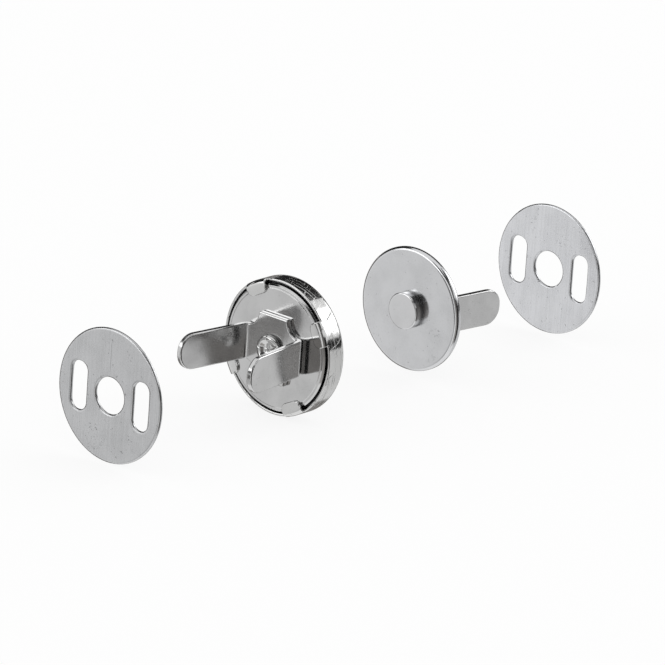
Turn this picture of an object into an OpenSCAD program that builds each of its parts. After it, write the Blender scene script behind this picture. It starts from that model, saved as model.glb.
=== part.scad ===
// Magnetic catch with bend-over prongs, in nickel-plated steel, drawn apart along its axis.
// The catch axis runs along X. The two prongs of each half lie on either side of it, along Y.
// The origin is where the axis meets the face of the magnet half that seats on the material.
// From -X to +X: washer, magnet half, male half, washer.

/* [Cap] */
// Outer diameter of the drawn cap that holds the magnet
cap_d = 18; // [15:0.1:22]
// Depth of the cap, from its rear edge to the closing face
cap_depth = 3.2; // [2.4:0.1:4.5]
// Thickness of the cap's sheet
cap_t = 0.35; // [0.25:0.05:0.4]
// Outer radius of the edge round the closing face
cap_edge_r = 0.8; // [0.5:0.05:1.1]
// Diameter of the socket that the post enters
socket_d = 6; // [5.4:0.1:7]
// Radius by which the sheet turns inwards at the socket
mouth_r = 0.6; // [0.45:0.05:0.7]
// Depth of the turned-in collar, from the closing face
collar_l = 0.9; // [0.7:0.05:1.1]

/* [Tabs] */
// Number of tabs folded over the back plate
tab_count = 4; // [3:1:6]
// Width of a tab
tab_w = 3.4; // [2.4:0.1:4]
// Reach of a tab inwards, from the outside of the cap
tab_reach = 1.9; // [1.6:0.05:2.3]
// Corner radius of a tab's end
tab_corner_r = 1; // [0.4:0.05:1.1]
// Inner radius of the fold
tab_bend_r = 0.3; // [0.2:0.05:0.4]
// How far the wall is cut back beside the folds
tab_relief = 0.05; // [0.02:0.01:0.2]
// Turn of the tabs from the prongs' line, anticlockwise as seen from the prongs
tab_turn = 27; // [0:1:89]

/* [Back plate and magnet] */
// Thickness of the back plate
plate_t = 0.9; // [0.6:0.05:1.2]
// Gap between the back plate's rim and the cap
plate_gap = 0.3; // [0.15:0.05:0.4]
// Width of the bevel round the back plate
bevel_w = 0.5; // [0.2:0.05:0.6]
// Depth of that bevel
bevel_h = 0.25; // [0.1:0.05:0.4]
// Gap between the magnet ring and the cap
magnet_gap = 0.2; // [0.1:0.05:0.4]
// Gap between the magnet's bore and the socket's turned edge
bore_gap = 0.1; // [0.05:0.05:0.3]

/* [Male half] */
// Diameter of the male disc
disc_d = 16.5; // [14:0.1:20]
// Thickness of the male disc
disc_t = 1.1; // [0.8:0.05:1.4]
// Radius on both edges of the disc
disc_edge_r = 0.3; // [0.1:0.05:0.4]
// Diameter of the post
post_d = 4.9; // [4:0.1:5.3]
// Height of the post above the disc
post_h = 1.3; // [1:0.05:1.5]

/* [Rivets] */
// Diameter of the shank through plate and prong strap
shank_d = 3.2; // [2.6:0.1:3.4]
// Gap round the shank in its holes
shank_gap = 0.05; // [0.03:0.01:0.1]
// Diameter of the pole, the rivet's head inside the magnet
pole_d = 6.4; // [5.6:0.1:6.8]
// Gap between the post's end and the pole when the catch is closed
pole_gap = 0.1; // [0.05:0.05:0.3]
// Radius on the edge of the post and of the pole
head_edge_r = 0.25; // [0.1:0.05:0.4]
// Diameter of the crimped end
crimp_d = 4; // [3.7:0.1:4.4]
// Height of the crimped end
crimp_h = 0.85; // [0.6:0.05:1]
// Number of petals in the crimped end
petals = 5; // [4:1:6]
// Width of the split between two petals at the rim
split_w = 0.5; // [0.2:0.05:0.6]

/* [Prong straps] */
// Thickness of the strap's sheet
strap_t = 0.8; // [0.5:0.05:1]
// Width of a prong
leg_w = 4.8; // [4:0.1:5.2]
// Distance between the insides of the two folds
fold_span = 7.9; // [7.4:0.05:8]
// Inner radius of the folds
fold_r = 0.3; // [0.2:0.05:0.4]
// Outward lean of each prong, in degrees
splay = 7.5; // [0:0.5:8]
// Reach of the magnet half's prongs behind the seat
female_leg_l = 10.8; // [8:0.1:11]
// Corner radius at the ends of the magnet half's prongs
female_tip_r = 1.5; // [0.5:0.1:2.2]
// Reach of the male half's prongs behind the seat
male_leg_l = 9.2; // [8:0.1:11]
// Corner radius at the ends of the male half's prongs
male_tip_r = 2.1; // [0.5:0.1:2.2]
// Width of the middle pad between its corners
pad_w = 4.8; // [4.6:0.1:5.4]
// Height of the middle pad
pad_h = 9; // [8.8:0.1:10]
// Radius of the scoop from each corner of the pad to the prong
scoop_r = 2.2; // [2:0.05:2.4]

/* [Washers] */
// Diameter of the washers
washer_d = 17.5; // [15:0.1:20]
// Thickness of the washers
washer_t = 0.45; // [0.3:0.05:0.6]
// Gap round the crimped end in the washer's centre hole
hole_gap = 0.4; // [0.2:0.05:0.6]
// Width of a slot
slot_w = 2.6; // [2.3:0.05:3]
// Length of a slot
slot_l = 6.4; // [5.8:0.1:7.4]
// Corner radius of a slot
slot_r = 1.2; // [0.5:0.05:1.3]
// Gap between a slot's inner edge and the fold of the prong
slot_gap = 0.05; // [0.02:0.01:0.3]

/* [Drawn apart] */
// Distance between the closing faces of the two halves
open_gap = 22.3; // [0.1:0.1:40]
// Distance of the magnet half's washer from its seat
female_washer_gap = 29.4; // [0.4:0.1:40]
// Distance of the male half's washer from its seat
male_washer_gap = 26; // [0.4:0.1:40]

/* [Hidden] */
$fn = 96;
over = 1;
cap_r = cap_d / 2;
cap_rear = strap_t + tab_bend_r;
closing = cap_rear + cap_depth;
plate_r = cap_r - cap_t - plate_gap;
plate_top = strap_t + plate_t;
magnet_r = cap_r - cap_t - magnet_gap;
magnet_t = closing - cap_t - plate_top;
magnet_bore_r = socket_d / 2 + mouth_r + bore_gap;
pole_depth = post_h + pole_gap;
disc_top = strap_t + disc_t;
fold_y = fold_span / 2;
scoop_y = pad_w / 2 + scoop_r;
// A scoop meets the prong's edge this far before the fold
scoop_lead = 0.06;
scoop_run = scoop_y - fold_y + scoop_lead;
scoop_z = leg_w / 2 + sqrt(scoop_r * scoop_r - scoop_run * scoop_run);
crimp_lip = crimp_h / 2;
pit_r = shank_d * 0.3;
pit_floor_r = shank_d * 0.08;
pit_depth = crimp_h * 0.6;
slot_y = fold_y + slot_gap + slot_w / 2;
male_seat = closing + open_gap + disc_top;

// A half's own frame has its axis along Z and its seat at z = 0, with the prongs below.
module facing_plus_x(x) {
    translate([x, 0, 0]) rotate([0, 90, 0]) children();
}
module facing_minus_x(x) {
    translate([x, 0, 0]) rotate([0, -90, 0]) children();
}

// A quarter of the outline of a turned solid: w wide and h high, its upper outer corner rounded.
module rounded_quarter(w, h, r) {
    square([w, h - r]);
    square([w - r, h]);
    translate([w - r, h - r]) circle(r);
}

// A quarter of a ring that lies in one quadrant about the origin.
module quarter_ring(outer, inner, sx, sy) {
    intersection() {
        difference() {
            circle(outer);
            circle(inner);
        }
        translate([sx < 0 ? -outer : 0, sy < 0 ? -outer : 0]) square(outer);
    }
}

// A rectangle centred on the origin, with round corners.
module rounded_slot(w, l, r) {
    square([w, l - 2 * r], center = true);
    square([w - 2 * r, l], center = true);
    for (sx = [-1, 1], sy = [-1, 1])
        translate([sx * (w / 2 - r), sy * (l / 2 - r)]) circle(r);
}

// The cap's outline, turned all round: a drawn cup whose closing face turns in round the socket,
// with its rear edge folded inwards.
module turned_cap() {
    mouth_x = socket_d / 2 + mouth_r;
    fold_x = cap_r - cap_t - tab_bend_r;
    rotate_extrude() {
        difference() {
            rounded_quarter(cap_r, cap_depth, cap_edge_r);
            translate([0, -over]) rounded_quarter(cap_r - cap_t, cap_depth - cap_t + over, cap_edge_r - cap_t);
            square([mouth_x, cap_depth]);
        }
        translate([mouth_x, cap_depth - mouth_r]) quarter_ring(mouth_r, mouth_r - cap_t, -1, 1);
        translate([socket_d / 2, cap_depth - collar_l]) square([cap_t, collar_l - mouth_r]);
        translate([fold_x, 0]) quarter_ring(tab_bend_r + cap_t, tab_bend_r, 1, -1);
        translate([cap_r - tab_reach, -tab_bend_r - cap_t]) square([fold_x - cap_r + tab_reach, cap_t]);
    }
}

module tab_outline() {
    inner = cap_r - tab_reach;
    translate([inner + tab_corner_r, -tab_w / 2]) square([tab_reach + over, tab_w]);
    translate([inner, tab_corner_r - tab_w / 2]) square([tab_reach + over, tab_w - 2 * tab_corner_r]);
    for (s = [-1, 1])
        translate([inner + tab_corner_r, s * (tab_w / 2 - tab_corner_r)]) circle(tab_corner_r);
}

// All of the folded edge but the tabs is cut away, and a little of the wall with it.
module female_cap() {
    below = tab_bend_r + cap_t + over;
    color("lightsteelblue") facing_plus_x(cap_rear) difference() {
        turned_cap();
        translate([0, 0, -below]) linear_extrude(below + tab_relief) difference() {
            circle(cap_r + over);
            for (i = [0:tab_count - 1])
                rotate([0, 0, i * 360 / tab_count - tab_turn]) tab_outline();
        }
    }
}

module female_magnet() {
    lead = cap_edge_r - cap_t;
    color("dimgray") facing_plus_x(plate_top)
        rotate_extrude() polygon([
            [magnet_bore_r, 0],
            [magnet_r, 0],
            [magnet_r, magnet_t - lead],
            [magnet_r - lead, magnet_t],
            [magnet_bore_r, magnet_t]
        ]);
}

module female_back_plate() {
    hole_r = shank_d / 2 + shank_gap;
    color("silver") facing_plus_x(strap_t)
        rotate_extrude() polygon([
            [hole_r, 0],
            [plate_r - bevel_w, 0],
            [plate_r, bevel_h],
            [plate_r, plate_t],
            [hole_r, plate_t]
        ]);
}

// A split between two petals, widening outwards from the shank.
module split_outline() {
    widening = split_w / (crimp_d - shank_d);
    from = shank_d / 2;
    to = crimp_d / 2 + over;
    half = split_w / 2 + over * widening;
    polygon([[from, -split_w / 6], [to, -half], [to, half], [from, split_w / 6]]);
}

// A tubular rivet's end, split and curled outwards into petals under the seat.
module crimped_end() {
    lip_x = crimp_d / 2 - crimp_lip;
    difference() {
        rotate_extrude() {
            translate([lip_x, -crimp_lip]) circle(crimp_lip, $fn = 48);
            difference() {
                translate([0, -crimp_h]) square([lip_x, crimp_h]);
                translate([0, -crimp_h]) polygon([
                    [0, pit_depth],
                    [pit_floor_r, pit_depth],
                    [pit_r, 0],
                    [pit_r, -over],
                    [0, -over]
                ]);
            }
        }
        for (i = [0:petals - 1])
            rotate([0, 0, i * 360 / petals]) translate([0, 0, -crimp_h - over])
                linear_extrude(crimp_h + over) split_outline();
    }
}

// A rivet that clamps everything from the seat up to the given height, its head on top.
module rivet(grip, head_d, head_h) {
    cylinder(h = grip, d = shank_d);
    translate([0, 0, grip]) rotate_extrude() rounded_quarter(head_d / 2, head_h, head_edge_r);
    crimped_end();
}

module female_rivet() {
    color("gainsboro") facing_plus_x(0) rivet(plate_top, pole_d, closing - pole_depth - plate_top);
}

module male_rivet() {
    color("gainsboro") facing_minus_x(male_seat) rivet(disc_top, post_d, post_h);
}

// The flat middle of a strap: the pad that the rivet holds, scooped down to the prongs' width.
module strap_pad() {
    difference() {
        linear_extrude(strap_t) {
            square([leg_w, fold_span], center = true);
            difference() {
                square([pad_h, fold_span], center = true);
                for (sx = [-1, 1], sy = [-1, 1])
                    translate([sx * scoop_z, sy * scoop_y]) circle(scoop_r);
            }
        }
        translate([0, 0, -over]) cylinder(h = strap_t + 2 * over, d = shank_d + 2 * shank_gap);
    }
}

// A prong, from the end of its fold: its inner face in the plane y = 0, running down to z = -l.
module prong(l, tip_r) {
    rotate([-90, 0, 0]) linear_extrude(strap_t) {
        translate([-leg_w / 2, 0]) square([leg_w, l - tip_r]);
        translate([tip_r - leg_w / 2, 0]) square([leg_w - 2 * tip_r, l]);
        for (s = [-1, 1])
            translate([s * (leg_w / 2 - tip_r), l - tip_r]) circle(tip_r);
    }
}

// A strap stamped from sheet: the pad, with one prong folded down on either side.
module prong_strap(reach, tip_r) {
    turn = 90 - splay;
    start = fold_r - fold_r * cos(turn);
    length = (reach - start) / sin(turn);
    strap_pad();
    for (side = [0, 180])
        rotate([0, 0, side]) translate([0, fold_y, -fold_r]) {
            translate([-leg_w / 2, 0, 0]) rotate([0, 90, 0]) rotate([0, 0, 90 + splay])
                rotate_extrude(angle = turn) translate([fold_r, 0]) square([strap_t, leg_w]);
            rotate([splay, 0, 0]) translate([0, fold_r, 0]) prong(length, tip_r);
        }
}

module female_prong_strap() {
    color("lightgray") facing_plus_x(0) prong_strap(female_leg_l, female_tip_r);
}

module male_disc() {
    hole_r = shank_d / 2 + shank_gap;
    color("silver") facing_minus_x(male_seat - strap_t)
        rotate_extrude() difference() {
            union() {
                translate([0, disc_edge_r]) rounded_quarter(disc_d / 2, disc_t - disc_edge_r, disc_edge_r);
                square([disc_d / 2 - disc_edge_r, disc_t]);
                translate([disc_d / 2 - disc_edge_r, disc_edge_r]) circle(disc_edge_r);
            }
            translate([0, -over]) square([hole_r, disc_t + 2 * over]);
        }
}

module male_prong_strap() {
    color("lightgray") facing_minus_x(male_seat) prong_strap(male_leg_l, male_tip_r);
}

// A washer with its centre hole and its two slots, lying on z = 0.
module washer() {
    linear_extrude(washer_t) difference() {
        circle(d = washer_d);
        circle(d = crimp_d + 2 * hole_gap);
        for (s = [-1, 1])
            translate([0, s * slot_y]) rotate([0, 0, 90]) rounded_slot(slot_w, slot_l, slot_r);
    }
}

module washer_female_side() {
    color("darkgray") facing_minus_x(-female_washer_gap) washer();
}

module washer_male_side() {
    color("darkgray") facing_plus_x(male_seat + male_washer_gap) washer();
}

female_cap();
female_magnet();
female_back_plate();
female_rivet();
female_prong_strap();
male_disc();
male_rivet();
male_prong_strap();
washer_female_side();
washer_male_side();
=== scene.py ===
# %% [markdown]
# # A magnetic catch, taken apart
# The catch is nickel-plated steel: a magnet half and a male half, each with two prongs behind it,
# and a slotted washer for each. The CAD gives the frame, in metres: the catch axis is X, the prongs
# lie on either side of it along Y, and Z is up. Every piece below is written in millimetres, which
# are easier to read at this size, and scaled once when its mesh is made.

import bmesh
import bpy
import numpy as np
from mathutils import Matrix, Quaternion, Vector


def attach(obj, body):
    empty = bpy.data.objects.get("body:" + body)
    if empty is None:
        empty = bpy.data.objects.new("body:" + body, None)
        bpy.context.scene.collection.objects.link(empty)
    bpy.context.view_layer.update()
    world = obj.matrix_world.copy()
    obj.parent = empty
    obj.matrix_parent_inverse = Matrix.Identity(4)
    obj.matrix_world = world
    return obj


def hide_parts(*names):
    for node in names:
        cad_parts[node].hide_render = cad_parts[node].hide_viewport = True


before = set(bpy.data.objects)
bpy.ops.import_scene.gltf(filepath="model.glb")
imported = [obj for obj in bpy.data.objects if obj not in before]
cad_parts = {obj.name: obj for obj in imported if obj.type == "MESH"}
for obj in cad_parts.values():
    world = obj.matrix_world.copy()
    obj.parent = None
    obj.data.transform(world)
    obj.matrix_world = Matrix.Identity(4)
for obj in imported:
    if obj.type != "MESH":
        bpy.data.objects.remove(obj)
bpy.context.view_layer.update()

MM = 0.001
scene = bpy.context.scene
scene.view_settings.view_transform = "Standard"

# %% [markdown]
# ## The camera
# The photograph was taken from the prongs' side of the magnet half, a little above it, with a long
# lens: the near washer is only a few per cent bigger than the far one. A long lens at one metre does
# the same. Turn and tilt are the angles at which a circle of the catch looks as round as it does
# in the photograph. The small roll is a compromise: the photographed halves lean more than it
# gives, and the slots of the washers stand upright. FRAME_WIDTH is how much the picture's width
# takes in at the catch, in metres.

# %% Camera
CAMERA_TURN, CAMERA_TILT = np.radians(-49.3), np.radians(18.4)
CAMERA_ROLL = np.radians(4)
CAMERA_DISTANCE = 1.03
FRAME_WIDTH = 0.0853
CENTRE = Vector((11.8, 0, -0.15)) * MM

toward_camera = Vector((np.sin(CAMERA_TURN) * np.cos(CAMERA_TILT),
                        -np.cos(CAMERA_TURN) * np.cos(CAMERA_TILT),
                        np.sin(CAMERA_TILT)))
camera = bpy.data.objects.new("camera", bpy.data.cameras.new("camera"))
scene.collection.objects.link(camera)
camera.location = CENTRE + toward_camera * CAMERA_DISTANCE
level = (-toward_camera).to_track_quat("-Z", "Y")
camera.rotation_euler = (level @ Quaternion((0, 0, 1), CAMERA_ROLL)).to_euler()
camera.data.lens = camera.data.sensor_width * CAMERA_DISTANCE / FRAME_WIDTH
camera.data.clip_start, camera.data.clip_end = 0.1, 20
scene.camera = camera
print("lens", round(camera.data.lens), "mm, from", [round(c, 3) for c in camera.location])

# %% [markdown]
# ## Meshes from grids
# Each surface is one or more patches, and a patch is a grid of points: rows by columns. The patches
# of a piece share the points along their common edges, so merging the doubles closes it: points
# nearer than MERGE, a fifth of a micrometre, become one. Primitives and modifiers could give most
# of these shapes too, but a formula puts each edge exactly where the CAD has it.

# %% From patches to a piece
MERGE = 2e-7


def grid_quads(rows, columns, first=0):
    """Corner numbers of the quads of a grid whose points are numbered row by row."""
    corner = first + (np.arange(rows - 1)[:, None] * columns + np.arange(columns - 1)).ravel()
    return np.stack([corner, corner + 1, corner + columns + 1, corner + columns], 1)


def mesh_from(name, patches, closed):
    """A mesh of these (rows, columns, 3) patches, in mm. Closed shells get their normals outwards."""
    mesh = bpy.data.meshes.new(name)
    points, quads, count = [], [], 0
    for patch in patches:
        rows, columns = patch.shape[:2]
        points.append(patch.reshape(-1, 3))
        quads.append(grid_quads(rows, columns, count))
        count += rows * columns
    mesh.from_pydata((np.concatenate(points) * MM).tolist(), [], np.concatenate(quads).tolist())
    work = bmesh.new()
    work.from_mesh(mesh)
    bmesh.ops.remove_doubles(work, verts=work.verts, dist=MERGE)
    bmesh.ops.dissolve_degenerate(work, edges=work.edges, dist=MERGE / 2)
    if closed:
        bmesh.ops.recalc_face_normals(work, faces=work.faces)
    open_edges = sum(not e.is_manifold for e in work.edges)
    work.to_mesh(mesh)
    work.free()
    mesh.shade_smooth()
    print(name, len(mesh.polygons), "faces,", open_edges, "open edges")
    return mesh


def piece(name, patches, body, node, closed=True):
    """An object at the origin that stands for a CAD node and rides on its body."""
    thing = bpy.data.objects.new(name, mesh_from(name, patches, closed))
    scene.collection.objects.link(thing)
    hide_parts(node)
    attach(thing, body)
    return thing


# %% [markdown]
# ## Turned pieces
# The back plate, the magnet, the male disc and the rivets are round. Their outline is drawn once,
# as radius against place along X, with every corner an arc, and carried round the axis. A Screw
# modifier could carry it round too, but points worked out here can still be moved, which the
# rivets need. Polished metal shows each facet, so the arcs are finely divided, and the straight
# parts have an extra row close to each arc: a flat then keeps its own normal right up to the arc.

# %% Outlines and turning
TURNS, ARC_STEPS = 192, 8
SUPPORT = 0.02


def rounded(corners):
    """Points of a closed outline: each corner is (radius, x, rounding) and becomes an arc."""
    outline = np.array([c[:2] for c in corners], float)
    rounding = [c[2] for c in corners]
    points = []
    for k, r in enumerate(rounding):
        corner = outline[k]
        before, after = outline[k - 1] - corner, outline[(k + 1) % len(outline)] - corner
        before, after = before / np.hypot(*before), after / np.hypot(*after)
        if r == 0:
            points.append(corner[None])
            continue
        half = np.arccos(np.clip(before @ after, -1, 1)) / 2
        reach = r / np.tan(half)
        centre = corner + (before + after) / np.hypot(*(before + after)) * r / np.sin(half)
        start, end = corner + before * reach - centre, corner + after * reach - centre
        swing = np.arctan2(start[0] * end[1] - start[1] * end[0], start @ end)
        angle = swing * np.linspace(0, 1, ARC_STEPS + 1)[:, None]
        arc = centre + start * np.cos(angle) + np.array([-start[1], start[0]]) * np.sin(angle)
        support = min(SUPPORT, r / 4)
        points += [(corner + before * (reach + support))[None], arc,
                   (corner + after * (reach + support))[None]]
    return np.concatenate(points)


def turned(outline):
    """Each outline point (radius, x) goes round X: y = radius sin(turn), z = radius cos(turn)."""
    outline = np.vstack([outline, outline[:1]])
    turn = np.linspace(0, 2 * np.pi, TURNS + 1)
    radius, along = outline[:, :1], outline[:, 1:]
    return np.stack([along + 0 * turn, radius * np.sin(turn), radius * np.cos(turn)], 2)


# %% [markdown]
# ### Back plate, magnet and male disc
# The back plate is a stamped steel disc. Its rim is stepped down and bevelled on the prongs' side,
# which draws a double bright line round it. The magnet is a plain ring. The male disc was stamped
# too, and both its edges came out well rounded. An edge that is only broken, so that it doesn't
# cut, is rounded by BROKEN. Plain cylinders would do from far away, but up close it is the rounded
# edges that catch the light.

# %% Three discs
STRAP_T = 0.8
SHANK_HOLE = 1.65
BROKEN = 0.05
PLATE_BACK, PLATE_FRONT, PLATE_R = STRAP_T, 1.7, 8.35
STEP, STEP_FROM, STEP_TO = 0.07, 7.78, 7.88
RIM_FROM, RIM_BEVEL = 8.14, 0.3
MAGNET_BORE, MAGNET_R, MAGNET_FRONT, MAGNET_BEVEL = 3.7, 8.45, 3.95, 0.45
MALE_SEAT = 28.5
DISC_BACK, DISC_FRONT, DISC_R = MALE_SEAT - STRAP_T, 26.6, 8.25

back_plate = piece("back_plate", [turned(rounded([
    (SHANK_HOLE, PLATE_BACK, BROKEN), (STEP_FROM, PLATE_BACK, BROKEN),
    (STEP_TO, PLATE_BACK + STEP, 0.04), (RIM_FROM, PLATE_BACK + STEP, BROKEN),
    (PLATE_R, PLATE_BACK + RIM_BEVEL, 0.08),
    (PLATE_R, PLATE_FRONT, BROKEN), (SHANK_HOLE, PLATE_FRONT, BROKEN)]))],
    "magnet_half", "female_back_plate")
magnet = piece("magnet_ring", [turned(rounded([
    (MAGNET_BORE, PLATE_FRONT, BROKEN), (MAGNET_R, PLATE_FRONT, BROKEN),
    (MAGNET_R, MAGNET_FRONT - MAGNET_BEVEL, 0.15), (MAGNET_R - MAGNET_BEVEL, MAGNET_FRONT, 0.15),
    (MAGNET_BORE, MAGNET_FRONT, 0.1)]))],
    "magnet_half", "female_magnet")
male_disc = piece("male_disc_plate", [turned(rounded([
    (SHANK_HOLE, DISC_BACK, BROKEN), (SHANK_HOLE, DISC_FRONT, BROKEN),
    (DISC_R, DISC_FRONT, 0.5), (DISC_R, DISC_BACK, 0.45)]))],
    "male_half", "male_disc")

# %% [markdown]
# ## The rivets
# Each half is held together by one rivet. Its head shows in front: the pole inside the socket of
# the magnet half, the post of the male half. Behind, its hollow end was split by a pointed punch
# and pressed down on the strap, so it ends in a low drum with uneven petals round a pit. The
# outline is turned as before, and at the crimped end each point is then moved by its angle: each
# petal stands a little higher or lower than the next and leans, and a narrow crease parts them.
# Sculpting could do the same, but a formula is easy to change and gives the same end each time.

# %% The crimped end's outline
SHANK_R = 1.6
CRIMP_R, CRIMP_H = 2.0, 0.85
CRIMP_ROWS, SMOOTHINGS = 45, 3


def crimp_outline():
    """(radius, height above the seat) from the shank up the drum's side, over its lip, into the pit."""
    knots = np.array([[SHANK_R, 0], [1.85, 0.02], [1.93, 0.12], [1.96, 0.4], [1.92, 0.6], [1.78, 0.75],
                      [1.55, 0.8], [1.35, 0.74], [1.1, 0.52], [0.85, 0.3], [0.5, 0.18], [0, 0.16]])
    way = np.concatenate([[0], np.cumsum(np.hypot(*np.diff(knots, axis=0).T))])
    at = np.linspace(0, way[-1], CRIMP_ROWS)
    line = np.stack([np.interp(at, way, knots[:, k]) for k in (0, 1)], 1)
    for _ in range(SMOOTHINGS):
        line[1:-1] = (line[:-2] + 2 * line[1:-1] + line[2:]) / 4
    return line


print("crimped end", crimp_outline().max(0).round(2), "mm: its greatest radius and height")

# %% Petals
SPLITS = np.radians([14, 83, 159, 226, 302])
PETAL_LIFT = np.array([0.4, -0.9, 0.2, -0.7, 0.9])
RISE, LEAN = 0.12, 0.45
CREASE_WIDTH, CREASE_FLARE, CREASE_DEPTH = 0.05, 0.11, 0.35
RIM_NICK, RIM_WANDER = 0.05, 0.03


def split_petals(radius, height, turn):
    """Height times (1 + the petal's lift + its lean along the petal), less a crease at each split
    that widens outwards. Both fade at the pit's middle and at the drum's side."""
    petal = np.searchsorted(SPLITS, turn) % len(SPLITS)
    past = np.mod(turn - SPLITS[petal - 1], 2 * np.pi)
    length = np.mod(SPLITS[petal] - SPLITS[petal - 1], 2 * np.pi)
    edge = np.minimum(past, length - past)
    crease = np.exp(-(edge * radius / (CREASE_WIDTH + CREASE_FLARE * radius / CRIMP_R)) ** 2)
    share = np.clip(radius / CRIMP_R, 0, 1)
    shown = np.clip(share * 2.4, 0, 1) * np.clip((1.02 - share) * 4, 0.1, 1)
    lift = RISE * PETAL_LIFT[petal] + LEAN * (past / length - 0.5)
    new_height = height * (1 + lift * shown * (1 - crease) - CREASE_DEPTH * crease * shown)
    new_radius = radius * (1 - RIM_NICK * crease * share ** 3)
    new_radius = new_radius + RIM_WANDER * PETAL_LIFT[petal] * share ** 3
    return np.minimum(new_radius, CRIMP_R), np.minimum(new_height, CRIMP_H)


print("petals", np.degrees(np.diff(SPLITS, append=SPLITS[0] + 2 * np.pi)).round(), "degrees wide")

# %% Rivets
RIVET_TURNS = 240
NEAR_AXIS = 0.01
POLE_R, POLE_FRONT, POLE_EDGE = 3.2, 2.9, 0.25
POST_R, POST_H, POST_EDGE = 2.45, 1.3, 0.22


def rivet(seat, toward_head, grip, head_r, head_h, edge):
    """One closed skin: head, shank, crimped end. toward_head is +1 or -1 along X. The head's first
    ring is so near the axis that the triangles at its pole are too small to show."""
    top = grip + head_h
    head = rounded([(NEAR_AXIS, top, 0), (head_r, top, edge), (head_r, grip, 0.04), (SHANK_R, grip, 0)])
    head = np.vstack([[0, top], head])
    turn = np.linspace(0, 2 * np.pi, RIVET_TURNS + 1)
    crimp = crimp_outline()
    radius, height = split_petals(crimp[:, :1], crimp[:, 1:], turn)
    radius = np.vstack([head[:, :1] + 0 * turn, radius])
    along = np.vstack([head[:, 1:] + 0 * turn, -height])
    return [np.stack([seat + toward_head * along, radius * np.sin(turn), radius * np.cos(turn)], 2)]


female_rivet = piece("magnet_half_rivet",
                     rivet(0, 1, PLATE_FRONT, POLE_R, POLE_FRONT - PLATE_FRONT, POLE_EDGE),
                     "magnet_half", "female_rivet")
male_rivet = piece("male_half_rivet",
                   rivet(MALE_SEAT, -1, MALE_SEAT - DISC_FRONT, POST_R, POST_H, POST_EDGE),
                   "male_half", "male_rivet")

# %% [markdown]
# ## The prong straps
# One stamped sheet makes the pad under the rivet and the two prongs folded back from it. The sheet
# is drawn flat in patches: a ring from the rivet's hole out to the pad's outline, a strip for each
# prong, a rim of even width round its tip, which gives the broken edge room, and rows that fill the
# tip inside the rim. A flat point (u across the strap, z up) is then bent: along the pad x stays,
# in the fold it goes round the bend's centre, and past it straight on, so one function folds all.
# A Simple Deform modifier could bend a sheet too, but here the fold keeps its true radius, and the
# sheet its length. The ends of the prongs are nearly half circles, as the photograph shows them.

# %% The fold
FOLD_Y, FOLD_R, SPLAY = 3.95, 0.3, 7.5
BEND_R = FOLD_R + STRAP_T
BEND = np.radians(90 - SPLAY)


def folded(u, z):
    """(x, y, z) of flat sheet points: u is the way from the axis along the face on the plate's side."""
    way = np.abs(u)
    bend = np.clip((way - FOLD_Y) / BEND_R, 0, BEND)
    past = np.maximum(way - FOLD_Y - BEND_R * BEND, 0)
    x = np.where(way <= FOLD_Y, STRAP_T, BEND_R * np.cos(bend) - FOLD_R - past * np.sin(BEND))
    y = np.where(way <= FOLD_Y, way, FOLD_Y + BEND_R * np.sin(bend) + past * np.cos(BEND))
    return np.stack([x + 0 * z, np.sign(u) * y + 0 * z, z + 0 * u], -1)


print("the fold takes", round(BEND_R * BEND, 2), "mm of the drawn face")

# %% The strap's outlines
LEG_HALF, PAD_Y, PAD_Z, SCOOP_R = 2.4, 2.4, 4.5, 2.2
RIM, TIP_R, TIP_POINTS = 0.45, 2.25, 9
INSIDE = np.linspace(-1, 1, 2 * TIP_POINTS - 1) * (1 - RIM / LEG_HALF)
ACROSS = np.concatenate([[-1], INSIDE, [1]]) * LEG_HALF


def blend_rows(inner, outer, shares):
    """Rows of points from one line of points to another, at these shares of the way."""
    shares = np.asarray(shares)[:, None, None]
    return inner[None] * (1 - shares) + outer[None] * shares


def pad_outline():
    """A quarter of the pad's outline, (u, z): up the prong's half width, round the scoop, the top."""
    centre_z = LEG_HALF + np.sqrt(SCOOP_R ** 2 - (PAD_Y + SCOOP_R - FOLD_Y) ** 2)
    end = np.arccos((PAD_Y + SCOOP_R - FOLD_Y) / SCOOP_R)
    turn = np.linspace(end, 0, 10)
    scoop = np.stack([PAD_Y + SCOOP_R - SCOOP_R * np.cos(turn), centre_z - SCOOP_R * np.sin(turn)], 1)
    scoop[-1, 1] = PAD_Z
    half = ACROSS[len(ACROSS) // 2:-1]
    side = np.stack([np.full(len(half), FOLD_Y), half], 1)
    top_u = np.linspace(PAD_Y, 0, 5)[1:]
    top = np.stack([top_u, np.full(len(top_u), PAD_Z)], 1)
    return np.vstack([side, scoop, top])


def tip_lines(end):
    """The round end's outline, (u, z), and the same line moved in by the rim's width."""
    corner = np.radians(np.linspace(0, 90, TIP_POINTS))
    out = np.stack([np.sin(corner), -np.cos(corner)], 1)
    arc = np.array([end - TIP_R, TIP_R - LEG_HALF]) + TIP_R * out
    line = np.vstack([arc[:-1], [[end, 0]], arc[-2::-1] * [1, -1]])
    outward = np.vstack([out[:-1], [[1, 0]], out[-2::-1] * [1, -1]])
    return line, line - RIM * outward


print("pad", len(pad_outline()), "points in a quarter, prong", len(ACROSS), "points across")

# %% The strap's patches
BESIDE = 0.05


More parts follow.
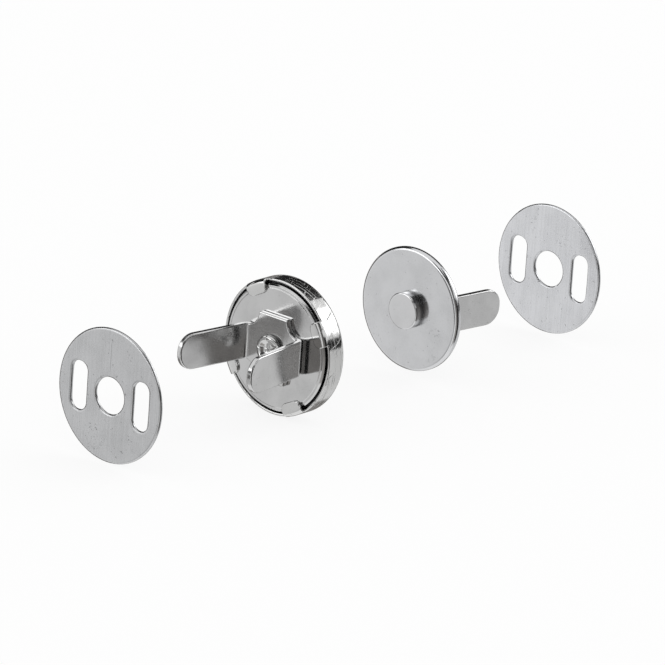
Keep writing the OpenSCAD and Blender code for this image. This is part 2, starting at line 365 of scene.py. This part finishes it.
def strap_patches(seat, toward_head, reach):
    """The pad's ring, the two prongs and their tips, folded and put at the seat."""
    quarter = pad_outline()
    left = quarter[-2::-1] * [-1, 1]
    upper = np.vstack([quarter, left])
    outline = np.vstack([upper, upper[-2::-1] * [1, -1]])
    angle = np.arctan2(outline[:, 1], outline[:, 0])
    hole = SHANK_HOLE * np.stack([np.cos(angle), np.sin(angle)], 1)
    flat = [blend_rows(hole, outline, [0, 0.12, 0.5, 0.88, 1])]
    bent_end = FOLD_Y + BEND_R * BEND
    end = bent_end + (reach - FOLD_R * (1 - np.cos(BEND))) / np.sin(BEND)
    ways = np.concatenate([FOLD_Y + BEND_R * BEND * np.linspace(0, 1, 13),
                           bent_end + np.array([BESIDE, 0.6, 2.5]), [end - TIP_R]])
    tip, inset = tip_lines(end)
    for side in (-1, 1):
        u, z = np.meshgrid(ways, ACROSS, indexing="ij")
        strip = np.stack([side * u, z], 2)
        rim = np.stack([tip, inset], 1) * [side, 1]
        flat += [strip, rim, blend_rows(strip[-1, 1:-1], inset * [side, 1], [0, 0.35, 0.7, 1])]
    result = []
    for patch in flat:
        bent = folded(patch[..., 0], patch[..., 1])
        bent[..., 0] = seat + toward_head * bent[..., 0]
        result.append(bent)
    return result


# %% [markdown]
# ### From a face to sheet metal
# The straps, the cap and the washers are sheet, so only one of their faces is drawn. It is turned
# to look outwards, the Solidify modifier gives the thickness behind it, evenly round every bend,
# and the Bevel modifier breaks the edges. To draw both faces and the edges between them would be
# three times the work, and the thickness would be hard to change.

# %% Sheet metal
EDGE_SEGMENTS, EDGE_ANGLE = 3, np.radians(50)


def sheet_metal(thing, thickness, edge):
    """Gives an open sheet its thickness, behind the face it was drawn on, and breaks its edges."""
    solid = thing.modifiers.new("thickness", "SOLIDIFY")
    solid.thickness, solid.offset, solid.use_even_offset = thickness * MM, -1, True
    bevel = thing.modifiers.new("edges", "BEVEL")
    bevel.width, bevel.segments = edge * MM, EDGE_SEGMENTS
    bevel.limit_method, bevel.angle_limit = "ANGLE", EDGE_ANGLE
    bevel.use_clamp_overlap, bevel.harden_normals = False, True


def face_outwards(mesh, middle):
    """Makes an open sheet's faces agree, and turns them all if most look towards the middle."""
    work = bmesh.new()
    work.from_mesh(mesh)
    bmesh.ops.recalc_face_normals(work, faces=work.faces)
    outward = sum((f.calc_center_median() - middle).dot(f.normal) * f.calc_area() for f in work.faces)
    if outward < 0:
        bmesh.ops.reverse_faces(work, faces=work.faces)
    work.to_mesh(mesh)
    work.free()
    mesh.shade_smooth()


# %% Straps
FEMALE_REACH, MALE_REACH = 10.8, 9.2
STRAP_EDGE = 0.22
BETWEEN_PRONGS = 4


def strap(name, body, node, seat, toward_head, reach):
    """A strap whose drawn face is the one against the plate or disc, turned outwards, then thickened."""
    thing = piece(name, strap_patches(seat, toward_head, reach), body, node, closed=False)
    face_outwards(thing.data, Vector((seat + toward_head * (STRAP_T - BETWEEN_PRONGS), 0, 0)) * MM)
    sheet_metal(thing, STRAP_T, STRAP_EDGE)
    return thing


female_strap = strap("magnet_half_strap", "magnet_half", "female_prong_strap", 0, 1, FEMALE_REACH)
male_strap = strap("male_half_strap", "male_half", "male_prong_strap", MALE_SEAT, -1, MALE_REACH)

# %% [markdown]
# ## The drawn cap
# The cap is one thin sheet: a collar turned into the socket, the closing face, a round edge and the
# wall, with tabs folded down over the back plate. Its outer face is an outline turned round the
# axis. The columns are spaced so that each tab starts and ends on one. A tab goes on from the
# wall's rear edge with straight sides: at a distance w from its middle line, a circle of radius r
# is crossed at the square root of r squared less w squared. Between the tabs, the wall ends RELIEF
# short of where they start to bend. Booleans could cut the tabs out of a cup, but they leave long
# thin triangles, which show in polished metal.

# %% The cap's outline
CAP_R, CAP_EDGE, REAR, CLOSING = 8.998, 0.8, 1.1, 4.3
SOCKET_R, MOUTH_R, COLLAR = 3.0, 0.6, 0.9
CAP_MIDDLE, RELIEF = 2.6, 0.05
FACE_ROW, WALL_ROWS = 5.8, (CAP_MIDDLE, 1.7, 1.35)


def cap_outline():
    """(radius, x) of the cap's outer face, from the collar's end to the wall's rear edge."""
    quarter = np.radians(np.linspace(0, 90, 9))
    mouth_r = SOCKET_R + MOUTH_R
    collar = [[SOCKET_R, CLOSING - COLLAR], [SOCKET_R, CLOSING - MOUTH_R - SUPPORT]]
    mouth = np.stack([mouth_r - MOUTH_R * np.cos(quarter), CLOSING - MOUTH_R + MOUTH_R * np.sin(quarter)], 1)
    face = [[r, CLOSING] for r in (mouth_r + BESIDE, FACE_ROW, CAP_R - CAP_EDGE - BESIDE)]
    edge = np.stack([CAP_R - CAP_EDGE + CAP_EDGE * np.sin(quarter),
                     CLOSING - CAP_EDGE + CAP_EDGE * np.cos(quarter)], 1)
    wall = [[CAP_R, x] for x in (CLOSING - CAP_EDGE - BESIDE, *WALL_ROWS, REAR + RELIEF)]
    return np.vstack([collar, mouth, face, edge, wall])


print("cap outline", len(cap_outline()), "points, radius", SOCKET_R, "to", CAP_R, "mm")

# %% Columns and tabs
TAB_HALF, TAB_INNER, TAB_CORNER, TAB_FOLD = 1.7, 7.1, 0.9, 0.65
TAB_TURNS = np.radians([27, 117, 207, 297])
TAB_COLUMNS = TAB_HALF * np.linspace(-1, 1, 13)
COLUMNS_BETWEEN = 32


def cap_turns():
    """Angles of the cap's columns: at the tabs those of the tab's columns, evenly spaced between."""
    at_tab = np.arcsin(TAB_COLUMNS / CAP_R)
    between = np.linspace(at_tab[-1], at_tab[0] + np.pi / 2, COLUMNS_BETWEEN + 2)[1:-1]
    turns = np.concatenate([t + np.concatenate([at_tab, between]) for t in TAB_TURNS])
    return np.append(turns, turns[0] + 2 * np.pi)


def round_cap(radius, along, turn):
    """Places (radius, x) at an angle measured from -Y towards +Z."""
    return np.stack([along + 0 * turn, -radius * np.cos(turn), radius * np.sin(turn)], -1)


def tab_patches(turn):
    """The fold and the flat end of the tab whose middle line is at this angle."""
    w = TAB_COLUMNS
    fold = np.radians(np.linspace(0, 90, 9))[:, None]
    along = REAR - TAB_FOLD * np.sin(fold)
    along[0] += RELIEF
    out = np.sqrt((CAP_R - TAB_FOLD + TAB_FOLD * np.cos(fold)) ** 2 - w ** 2)
    bend = np.stack([along + 0 * w, out, w + 0 * out], 2)
    quarter = np.radians(np.linspace(0, 90, 5))
    shoulder = np.stack([TAB_INNER + TAB_CORNER * (1 - np.sin(quarter)),
                         -TAB_HALF + TAB_CORNER * (1 - np.cos(quarter))], 1)
    end = np.stack([np.full(3, TAB_INNER), (TAB_HALF - TAB_CORNER) * np.array([-0.5, 0, 0.5])], 1)
    tip = np.vstack([shoulder, end, shoulder[::-1] * [1, -1]])
    flat = np.stack([np.full(len(tip), REAR - TAB_FOLD), tip[:, 0], tip[:, 1]], 1)
    result = []
    for patch in (bend, blend_rows(bend[-1], flat, [0, 0.5, 1])):
        x, out, side = patch[..., 0], patch[..., 1], patch[..., 2]
        result.append(np.stack([x, -(out * np.cos(turn) - side * np.sin(turn)),
                                out * np.sin(turn) + side * np.cos(turn)], -1))
    return result


print(len(TAB_TURNS), "tabs, and", len(cap_turns()), "columns round the cap")

# %% Cap
CAP_T, CAP_BREAK = 0.35, 0.15

cap_line = cap_outline()
patches = [round_cap(cap_line[:, :1], cap_line[:, 1:], cap_turns())]
for t in TAB_TURNS:
    patches += tab_patches(t)
cap = piece("drawn_cap", patches, "magnet_half", "female_cap", closed=False)
face_outwards(cap.data, Vector((CAP_MIDDLE, 0, 0)) * MM)
sheet_metal(cap, CAP_T, CAP_BREAK)

# %% [markdown]
# ## The washers
# A washer is a thin disc with a hole and two slots, all punched. Each slot has a cell of quads round
# it, from the slot's outline out to the hole, the rim and two lines between them, and plain rings
# of quads join the two cells. A Boolean could punch the slots, but quads that follow each edge let
# the bevel run round it evenly.

# %% The slot's outline
SLOT_Y, SLOT_W, SLOT_L, SLOT_R = 5.3, 2.6, 6.4, 1.2
ENDS, SIDES = 13, 25


def slot_run(first, second, n):
    """n points, evenly spaced, along two arcs and the straight line that joins them."""
    line = np.vstack([first, second])
    way = np.concatenate([[0], np.cumsum(np.hypot(*np.diff(line, axis=0).T))])
    at = np.linspace(0, way[-1], n)
    return np.stack([np.interp(at, way, line[:, k]) for k in (0, 1)], 1)


def slot_outline():
    """(y, z) round the slot in four runs that start at its corners' middles: near, top, far, bottom."""
    cy, cz = SLOT_W / 2 - SLOT_R, SLOT_L / 2 - SLOT_R

    def arc(sy, sz, a, b):
        turn = np.radians(np.linspace(a, b, 12))
        return np.stack([SLOT_Y + sy * cy + SLOT_R * np.cos(turn), sz * cz + SLOT_R * np.sin(turn)], 1)

    near = slot_run(arc(-1, -1, 225, 180), arc(-1, 1, 180, 135), SIDES)
    top = slot_run(arc(-1, 1, 135, 90), arc(1, 1, 90, 45), ENDS)
    far = slot_run(arc(1, 1, 45, 0), arc(1, -1, 0, -45), SIDES)
    bottom = slot_run(arc(1, -1, -45, -90), arc(-1, -1, -90, -135), ENDS)
    return np.vstack([near[:-1], top[:-1], far[:-1], bottom])


print("slot", np.ptp(slot_outline(), axis=0).round(2), "mm wide and high")

# %% Cells and fields
WASHER_R, HOLE_R = 8.75, 2.4
CELL = np.radians(52)
RINGS = HOLE_R + (WASHER_R - HOLE_R) * np.linspace(0, 1, ENDS)


def cell_outline():
    """(y, z) round the cell: along the hole, out, back along the rim, in."""
    turn = np.linspace(-CELL, CELL, SIDES)
    hole = HOLE_R * np.stack([np.cos(turn), np.sin(turn)], 1)
    rim = WASHER_R * np.stack([np.cos(turn), np.sin(turn)], 1)
    out = RINGS[:, None] * np.array([np.cos(CELL), np.sin(CELL)])
    return np.vstack([hole[:-1], out[:-1], rim[:0:-1], (out * [1, -1])[::-1]])


def washer_patches(x):
    """Two cells and the two fields between them, all in the plane at x."""
    cell = blend_rows(slot_outline(), cell_outline(), [0, 0.16, 0.4, 0.7, 0.86, 1])
    turn = np.linspace(CELL, np.pi - CELL, 19)
    field = RINGS[:, None, None] * np.stack([np.cos(turn), np.sin(turn)], 1)
    flat = [cell, cell * [-1, 1], field, field * [1, -1]]
    return [np.concatenate([np.full(p.shape[:2] + (1,), x), p], 2) for p in flat]


print("washer patches, in rows and columns", [p.shape[:2] for p in washer_patches(0)])

# %% Washers
WASHER_T, WASHER_EDGE = 0.45, 0.2
FEMALE_WASHER_X, MALE_WASHER_X = -29.85, 54.5


def washer(name, body, node, drawn_x):
    """A washer drawn on the face at drawn_x, with its thickness towards +X."""
    thing = piece(name, washer_patches(drawn_x), body, node, closed=False)
    face_outwards(thing.data, Vector((drawn_x + WASHER_T, 0, 0)) * MM)
    sheet_metal(thing, WASHER_T, WASHER_EDGE)
    return thing


washer_near = washer("magnet_half_washer_plate", "magnet_half_washer", "washer_female_side",
                     FEMALE_WASHER_X)
washer_far = washer("male_half_washer_plate", "male_half_washer", "washer_male_side", MALE_WASHER_X)

# %% [markdown]
# ## Materials
# Shader maths is easier to read as formulas, so one small class wraps a socket: adding or
# multiplying two of them puts the Math node in place. Every other node comes from one method.
# Nodes could be laid out by hand in the editor too, but a script shows which value does what.

# %% Wires
class Wire:
    """An output socket. Arithmetic with numbers or other wires adds Math nodes."""

    def __init__(self, paint, socket):
        self.paint, self.socket = paint, socket

    def math(self, operation, *values):
        return self.paint.add("ShaderNodeMath", {"operation": operation}, dict(enumerate(values)))

    def __add__(self, other):
        return self.math("ADD", self, other)

    def __sub__(self, other):
        return self.math("SUBTRACT", self, other)

    def __rsub__(self, other):
        return self.math("SUBTRACT", other, self)

    def __mul__(self, other):
        return self.math("MULTIPLY", self, other)

    __radd__, __rmul__ = __add__, __mul__

    def step(self, low, high):
        """0 below low, 1 above high, smooth between."""
        return self.paint.add("ShaderNodeMapRange", {"interpolation_type": "SMOOTHSTEP"},
                              {"Value": self, "From Min": low, "From Max": high})


# %% Node trees
class Paint:
    """A material's or world's node tree."""

    def __init__(self, owner):
        owner.use_nodes = True
        self.tree = owner.node_tree
        self.tree.nodes.clear()

    def add(self, kind, settings=None, inputs=None, out=0):
        """A node of this type: settings first, then its sockets, by name or number. Gives one output."""
        node = self.tree.nodes.new(kind)
        for name, value in (settings or {}).items():
            setattr(node, name, value)
        for name, value in (inputs or {}).items():
            if isinstance(value, Wire):
                self.tree.links.new(value.socket, node.inputs[name])
            else:
                node.inputs[name].default_value = value
        return Wire(self, node.outputs[out]) if len(node.outputs) else node

    def mix(self, share, a, b):
        """Colour a where share is 0, b where it is 1."""
        return self.add("ShaderNodeMix", {"data_type": "RGBA"}, {"Factor": share, "A": a, "B": b}, 2)

    def noise(self, place, scale, detail=2.0, roughness=0.5, distortion=0.0):
        return self.add("ShaderNodeTexNoise", {}, {
            "Vector": place, "Scale": scale, "Detail": detail, "Roughness": roughness,
            "Distortion": distortion})

    def bump(self, height, depth_mm):
        return self.add("ShaderNodeBump", {}, {"Height": height, "Distance": depth_mm * MM})


# %% [markdown]
# ### Nickel
# Every steel piece is nickel-plated, so they share one recipe: a metal of neutral grey, a little
# fogged in clouds, with specks and hair scratches that lie in the plating. What differs is how
# bright the piece was polished and which marks it carries: scuffs on the cap's wall, rolling lines
# on the washers, rubbed spots where fingers and tools held a disc, painted shade at the foot of
# each rivet, and the washers' faces bent down where a punch went through, with painted shade along
# those edges. Pictures of worn metal could be laid on the pieces, but noise needs no file, and its
# marks have the right size on every piece. Each mark is a function that gives a mask from 0 to 1,
# and a finish lists the ones it wants on top of the common ones.

# %% Places and stretched noise
def place_mm(paint):
    """Object coordinates in millimetres."""
    place = paint.add("ShaderNodeTexCoord", out="Object")
    return paint.add("ShaderNodeVectorMath", {"operation": "SCALE"}, {0: place, "Scale": 1 / MM})


def parts(paint, place):
    """The three numbers of a vector."""
    return [paint.add("ShaderNodeSeparateXYZ", {}, {0: place}, k) for k in range(3)]


def hypot(y, z):
    """The square root of y squared plus z squared: for a place, its distance from the catch axis."""
    return y.math("SQRT", y * y + z * z)


def stretched(paint, place, turns, sizes, detail=2.0, roughness=0.5):
    """Noise whose blotches are this many mm long in three directions, after the turns in degrees."""
    lay = paint.add("ShaderNodeMapping", {"vector_type": "TEXTURE"}, {
        "Vector": place, "Rotation": np.radians(turns), "Scale": sizes})
    return paint.noise(lay, 1.0, detail, roughness)


# %% [markdown]
# A scratch is noise stretched in one direction and cut off at a threshold, so that only its highest
# parts show, as thin lines that start and stop. Rolling lines are the same with a soft threshold.
# The cap's scuffs run round its wall, so their noise is laid on the wall as if it were unrolled.
# The painted shade at the rivets' feet and the handling marks keep to one place, which is given in
# millimetres.

# %% Scratches, rolling lines and scuffs
UNROLLED_R = 9.0
WALL_FROM, WALL_FULL = 8.35, 8.8


def hairs(paint, place):
    """Fine scratches in three directions, thresholded from stretched noise, in patches."""
    ways = ((25, 20, -30), (100, 35, 60), (60, -50, 10))
    found = sum(stretched(paint, place, way, (4.0, 0.11, 0.11)).step(0.66, 0.72) for way in ways)
    return found * paint.noise(place, 0.55).step(0.42, 0.62)


def rolled(paint, place):
    """Rolling lines of the sheet, along Z."""
    return stretched(paint, place, (0, 0, 0), (1, 0.16, 7), 4, 0.6).step(0.3, 0.75)


def scuffed_wall(paint, place):
    """Scuffs on the cap's wall. The wall is unrolled to (angle times radius, x), where one family of
    long scuffs runs nearly round the cap and one of short ones across it at a slant."""
    x, y, z = parts(paint, place)
    unrolled = paint.add("ShaderNodeCombineXYZ", {}, {0: y.math("ARCTAN2", y, z) * UNROLLED_R, 1: x})
    long = stretched(paint, unrolled, (0, 0, -8), (7, 0.22, 1)).step(0.58, 0.64)
    short = stretched(paint, unrolled, (0, 0, 57), (3.0, 0.26, 1)).step(0.62, 0.68)
    patchy = paint.noise(place, 0.35, 1).step(0.4, 0.6) * 0.7 + 0.3
    return (long + short) * patchy * hypot(y, z).step(WALL_FROM, WALL_FULL)


# %% Painted rivet shade and rubbed spots
# Painted shade: darkens a rivet's flank near where it meets the sheet, standing in for shadow and dark
# reflection.
def painted_rivet_shade(paint, place, x_from, x_to, x_end, radius):
    """Painted shade outside this radius where a rivet meets the sheet: rises from x_from to x_to, stops at
    x_end.
    """
    x, y, z = parts(paint, place)
    outside = hypot(y, z).step(radius - 0.12, radius)
    return x.step(x_from, x_to) * (1 - x.step(x_end, x_end + 0.2)) * outside


def rubbed(paint, place, spots):
    """Small handling marks inside the given spots: (x, y, z, radius)."""
    crumbs = paint.noise(place, 2.4, 3, 0.65, 1.0).step(0.6, 0.66)
    near = 0
    for *middle, reach in spots:
        far = paint.add("ShaderNodeVectorMath", {"operation": "DISTANCE"}, {0: place, 1: middle}, "Value")
        near = (1 - far.step(reach * 0.3, reach)) + near
    return crumbs * near


# %% [markdown]
# A punch bends the sheet down a little before it cuts through, so a punched face is rounded at each
# edge. The distance to the nearest edge gives that as a formula for the bump. Made of faces, the
# same glint would take a much finer mesh. The washers also use this mask to darken their colour
# along each edge: that is painted shade, a dark outline painted round the rim, the hole and the slots.

# %% Punched edges with their painted edge shade, and one long scratch
WANDER = 0.25


# The same mask darkens the washers' colour along each punched edge: painted shade, besides the real rounding
# in the bump.
def die_roll_and_edge_shade(paint, place, width):
    """The punch rounds a washer's face down to each edge it cuts: 1 at an edge, 0 this far inside it.
    The way to the rim or hole is a difference of radii; to a slot it is the distance from a box,
    less the slot's corner radius."""
    x, y, z = parts(paint, place)
    radius = hypot(y, z)
    beside = (y.math("ABSOLUTE", y.math("ABSOLUTE", y) - SLOT_Y) - (SLOT_W / 2 - SLOT_R),
              z.math("ABSOLUTE", z) - (SLOT_L / 2 - SLOT_R))
    off_y, off_z = (way.math("MAXIMUM", way, 0) for way in beside)
    to_slot = hypot(off_y, off_z) - SLOT_R
    nearest = y.math("MINIMUM", y.math("MINIMUM", WASHER_R - radius, radius - HOLE_R), to_slot)
    return 1 - nearest.step(0, width)


def drawn_line(paint, place, y_at, z_from, z_to):
    """One long scratch along Z, which wanders to either side of y_at."""
    x, y, z = parts(paint, place)
    wander = paint.noise(place, 0.6, 1) * WANDER
    off = y.math("ABSOLUTE", y + wander - (y_at + WANDER / 2))
    return (1 - off.step(0.02, 0.1)) * z.step(z_from, z_from + 0.8) * (1 - z.step(z_to - 0.8, z_to))


# %% Nickel plate
MICROMETRE = 0.001
HAIR_DARK, HAIR_ROUGH, HAIR_HIGH = 0.03, 0.04, -1
DUST_ROUGH, DUST_HIGH = 0.12, -2.4
FOG, CLOUD_HIGH = 0.05, 1.6
SHADE = 0.3


def plated(name, colour, gloss, speck=0.12, cloud=0.1, extra=()):
    """Nickel plate. gloss is the roughness; speck and cloud say how dark those common marks are;
    extra lists (mark, how dark, how rough, how high in micrometres, its own values). Where dark is
    1, the colour has come down to SHADE of itself."""
    material = bpy.data.materials.new(name)
    paint = Paint(material)
    place = place_mm(paint)
    clouds = paint.noise(place, 0.3, 3)
    dust = paint.noise(place, 2.6, 1).step(0.7, 0.76)
    fine = hairs(paint, place)
    dark = fine * HAIR_DARK + dust * speck + clouds.step(0.35, 0.7) * cloud
    rough = fine * HAIR_ROUGH + dust * DUST_ROUGH + clouds.step(0.3, 0.7) * FOG + gloss
    height = fine * HAIR_HIGH + dust * DUST_HIGH + clouds * CLOUD_HIGH
    for mark, darker, rougher, microns, *own in extra:
        mask = mark(paint, place, *own)
        dark, rough, height = mask * darker + dark, mask * rougher + rough, mask * microns + height
    tone = paint.mix(dark, (*colour, 1), (*(c * SHADE for c in colour), 1))
    shader = paint.add("ShaderNodeBsdfPrincipled", {}, {
        "Base Color": tone, "Metallic": 1.0, "Roughness": rough,
        "Normal": paint.bump(height, MICROMETRE)})
    paint.add("ShaderNodeOutputMaterial", {}, {"Surface": shader})
    return material


# %% [markdown]
# ### One finish for each kind of piece
# The cap was polished the most and the washers the least, so the roughness goes from 0.07 to 0.2.
# The rivets, the disc and the washers have a finish each, because their marks lie at their own
# places along the row. The two straps share one.

# %% Nickel finishes
finish_of = {
    "cap": plated("nickel_cap", (0.64, 0.64, 0.635), 0.07, extra=[(scuffed_wall, 0.05, 0.65, 14)]),
    # The crevice mark on the pole and the post is painted shade: it darkens the flank of the crimped end
    # near the strap, and the post's wall towards the disc.
    "pole": plated("nickel_pole", (0.60, 0.60, 0.595), 0.1, extra=[
        (painted_rivet_shade, 1.2, 0.2, 0, -0.65, -0.3, 0.6, 1.9)]),
    "post": plated("nickel_post", (0.66, 0.662, 0.67), 0.09, extra=[
        (painted_rivet_shade, 1.1, 0.1, 0, 25.75, 26.5, 26.8, 2.3)]),
    "plate": plated("nickel_plate", (0.61, 0.61, 0.61), 0.08, cloud=0.16),
    "strap": plated("nickel_strap", (0.60, 0.60, 0.60), 0.15, speck=0.2),
    "disc": plated("nickel_disc", (0.655, 0.66, 0.672), 0.14, speck=0.25, extra=[
        (rubbed, 0.45, 0.1, -4, [
            (DISC_FRONT, -4.6, -1.6, 1.9), (DISC_FRONT, -4.2, -4.9, 1.6),
            (DISC_FRONT, 4.6, -4.8, 0.9)])]),
    # In both washer finishes the die_roll_and_edge_shade mark rounds each punched edge with its bump and
    # darkens it in colour; the darkening is painted shade.
    "washer_near": plated("nickel_washer_near", (0.66, 0.665, 0.675), 0.2, speck=0.4, extra=[
        (rolled, 0.15, 0.06, 1.6), (die_roll_and_edge_shade, 0.25, 0, -60, 0.35),
        (drawn_line, 0.3, 0.05, -4, 0.1, 3.0, 7.4),
        (rubbed, 0.6, 0.1, -4, [(FEMALE_WASHER_X, 2.2, -5.6, 2.6), (FEMALE_WASHER_X, 0.2, 7.4, 0.6)])]),
    "washer_far": plated("nickel_washer_far", (0.73, 0.737, 0.758), 0.2, speck=0.35, cloud=0.08, extra=[
        (rolled, 0.12, 0.06, 1.6), (die_roll_and_edge_shade, 0.25, 0, -35, 0.3),
        (rubbed, 0.5, 0.1, -4, [
            (MALE_WASHER_X, 3.0, 5.4, 1.6), (MALE_WASHER_X, -2.2, 4.4, 2.2),
            (MALE_WASHER_X, 1.8, -2.2, 0.8)])]),
}
for thing, key in ((cap, "cap"), (female_rivet, "pole"), (male_rivet, "post"),
                   (back_plate, "plate"), (female_strap, "strap"), (male_strap, "strap"),
                   (male_disc, "disc"), (washer_near, "washer_near"), (washer_far, "washer_far")):
    thing.data.materials.append(finish_of[key])
print(len(finish_of), "nickel finishes")

# %% [markdown]
# ### Ferrite
# The magnet is sintered ferrite: dull charcoal, slightly grainy, with pale dust in its pores.

# %% Ferrite
ferrite = bpy.data.materials.new("ferrite")
paint = Paint(ferrite)
place = place_mm(paint)
grains = paint.noise(place, 6.0, 4, 0.6)
tone = paint.mix(grains.step(0.35, 0.7), (0.03, 0.03, 0.033, 1), (0.075, 0.075, 0.08, 1))
shader = paint.add("ShaderNodeBsdfPrincipled", {}, {
    "Base Color": tone, "Roughness": grains * 0.2 + 0.5, "Normal": paint.bump(grains, 0.02)})
paint.add("ShaderNodeOutputMaterial", {}, {"Surface": shader})
magnet.data.materials.append(ferrite)
print("ferrite", len(paint.tree.nodes), "nodes")

# %% [markdown]
# ## Floor and light
# Polished metal is only as good as what it mirrors. The photograph's background is white and its
# metal shows white, grey and nearly black in sharp bands, so it was lit as jewellery is: in a white
# room, with boxes and cards round it. The floor takes the shadow, but the metal doesn't mirror it.
# The metal sees the white world instead, and in it the cards, which nothing else sees, so a card
# can stand below the floor too and puts no shade on anything.

# %% Sheets of the stage
SEEN_BY = ("camera", "diffuse", "glossy", "shadow", "transmission", "volume_scatter")


def stage_sheet(name, points, rays):
    """A stage mesh of a grid of points in mm, with a UV square over the grid. rays: what sees it."""
    thing = bpy.data.objects.new(name, mesh_from(name, [points], False))
    scene.collection.objects.link(thing)
    for ray in SEEN_BY:
        setattr(thing, "visible_" + ray, ray in rays)
    rows, columns = points.shape[:2]
    vertex = np.empty(len(thing.data.loops), int)
    thing.data.loops.foreach_get("vertex_index", vertex)
    square = np.stack([vertex // columns / (rows - 1), vertex % columns / (columns - 1)], 1)
    thing.data.uv_layers.new(name="square").data.foreach_set("uv", square.astype(float).ravel())
    return thing


# %% Floor
FLOOR_Z, FLOOR_HALF = -9.1, 3000
sides = (-FLOOR_HALF, FLOOR_HALF)
corners = np.array([[[x, y, FLOOR_Z] for y in sides] for x in sides], float)
floor = stage_sheet("floor", corners, ("camera", "diffuse", "shadow", "transmission"))
pale = bpy.data.materials.new("pale_floor")
paint = Paint(pale)
seen = paint.add("ShaderNodeLightPath", out="Is Camera Ray")
diffuse = paint.add("ShaderNodeBsdfDiffuse", {}, {"Color": (0.9, 0.9, 0.9, 1)})
glow = paint.add("ShaderNodeEmission", {}, {"Color": (1, 1, 1, 1), "Strength": 1.0})
mixed = paint.add("ShaderNodeMixShader", {}, {0: seen * 0.85, 1: diffuse, 2: glow})
paint.add("ShaderNodeOutputMaterial", {}, {"Surface": mixed})
floor.data.materials.append(pale)

# %% World
world = bpy.data.worlds.new("studio")
scene.world = world
paint = Paint(world)
white = paint.add("ShaderNodeLightPath", out="Is Camera Ray")
for ray in ("Is Glossy Ray", "Is Transmission Ray"):
    white = white.math("MAXIMUM", white, paint.add("ShaderNodeLightPath", out=ray))
background = paint.add("ShaderNodeBackground", {}, {"Color": (1, 1, 1, 1), "Strength": white * 0.1 + 0.9})
paint.add("ShaderNodeOutputWorld", {}, {"Surface": background})
print("world", len(paint.tree.nodes), "nodes")

# %% [markdown]
# ### What a soft box and a card are
# A soft box is an area lamp: it lights the floor and the pieces, and the metal mirrors it too. A
# card is a part of a sphere round the row, given by the turns and tilts between which it stands.
# Flat cards on stands would do, as in a studio, but on a sphere the edges of a card can be read off
# as directions, and its fade is the same all round.

# %% Directions and soft boxes
def direction(turn, tilt):
    """Unit vectors, last axis x y z: turn in degrees from +X towards +Y, tilt above the horizon."""
    turn, tilt = np.radians(turn), np.radians(tilt)
    return np.stack([np.cos(turn) * np.cos(tilt), np.sin(turn) * np.cos(tilt), np.sin(tilt) + 0 * turn], -1)


def soft_box(name, turn, tilt, distance, wide, high, radiance):
    """An area lamp that looks at the middle of the row. Its watts follow from its size."""
    data = bpy.data.lights.new(name, "AREA")
    data.shape, data.size, data.size_y = "RECTANGLE", wide, high
    data.energy = radiance * np.pi * wide * high
    lamp = bpy.data.objects.new(name, data)
    scene.collection.objects.link(lamp)
    away = Vector(direction(turn, tilt))
    lamp.location = CENTRE + away * distance
    lamp.rotation_euler = away.to_track_quat("Z", "Y").to_euler()
    return lamp


# %% Cards
CARD_TURNS, CARD_TILTS = 25, 17


def card(name, turns, tilts, grey, across=0.0, up=0.0, fade=4, distance=1.5, tint=(1, 1, 1)):
    """A part of a sphere round the row, between two turns and two tilts, which only reflections see.
    Its grey changes by across over the turns, or by up over the tilts, and its edges fade over so
    many degrees."""
    ways = np.linspace(*turns, CARD_TURNS), np.linspace(*tilts, CARD_TILTS)
    turn, tilt = np.meshgrid(*ways, indexing="ij")
    thing = stage_sheet(name, (np.array(CENTRE) + direction(turn, tilt) * distance) / MM, ("glossy",))
    material = bpy.data.materials.new(name)
    paint = Paint(material)
    u, v, _ = parts(paint, paint.add("ShaderNodeUVMap", {"uv_map": "square"}))
    shown = 1.0
    for way, span in ((u, turns[1] - turns[0]), (v, tilts[1] - tilts[0])):
        shown = (way.math("MINIMUM", way, 1 - way) * span).step(0, fade) * shown
    glow = paint.add("ShaderNodeEmission", {}, {"Color": (*tint, 1), "Strength": grey})
    for way, change in ((u, across), (v, up)):
        if change:
            far = paint.add("ShaderNodeEmission", {}, {"Color": (*tint, 1), "Strength": grey + change})
            glow = paint.add("ShaderNodeMixShader", {}, {0: way, 1: glow, 2: far})
    gone = paint.add("ShaderNodeBsdfTransparent")
    mixed = paint.add("ShaderNodeMixShader", {}, {0: shown, 1: gone, 2: glow})
    paint.add("ShaderNodeOutputMaterial", {}, {"Surface": mixed})
    thing.data.materials.append(material)
    return thing


# %% [markdown]
# ### Placing the boxes and cards
# A flat mirror shows one direction only: the camera's, reflected at its face. The faces of the
# discs, which look towards -X, see turn 139 and tilt -18. The cap's wall sees 41, 18 at its top
# and runs over -7, 44 to -42, 13 and -41, -18 at its side. So each band of the photograph gives
# the turn and tilt of a box or card, and its tone gives the grey. A box has its turn, tilt,
# distance, width and height in metres, and its radiance; a card has its turns, tilts and grey.

# %% Boxes and cards in place
WARM = (1, 0.96, 0.925)
soft_box("box_right", -24, 28, 1.2, 0.75, 0.55, 2.0)
soft_box("box_left", 146, 20, 1.2, 1.1, 0.36, 1.6)
card("back_high", (-4, 118), (2, 48), 0.02, fade=2)
card("back_low", (8, 118), (-56, 4), 0.24, fade=3, tint=WARM)
card("right_horizon", (-64, -14), (-3, 12), 0.03, fade=2)
card("right_low", (-66, 12), (-60, -2), 0.72, across=0.12, fade=3)
card("front_high", (166, 262), (29, 58), 0.05, fade=3)
card("front_low", (202, 246), (-48, 32), 0.5, up=-0.42, fade=4, tint=WARM)
card("front_dark", (242, 297), (-48, 24), 0.02, fade=3)
card("top", (-120, -40), (47, 75), 0.03, fade=5)
card("left_low", (123, 174), (-48, -2), 1.04, across=-0.74, fade=3, distance=0.28)
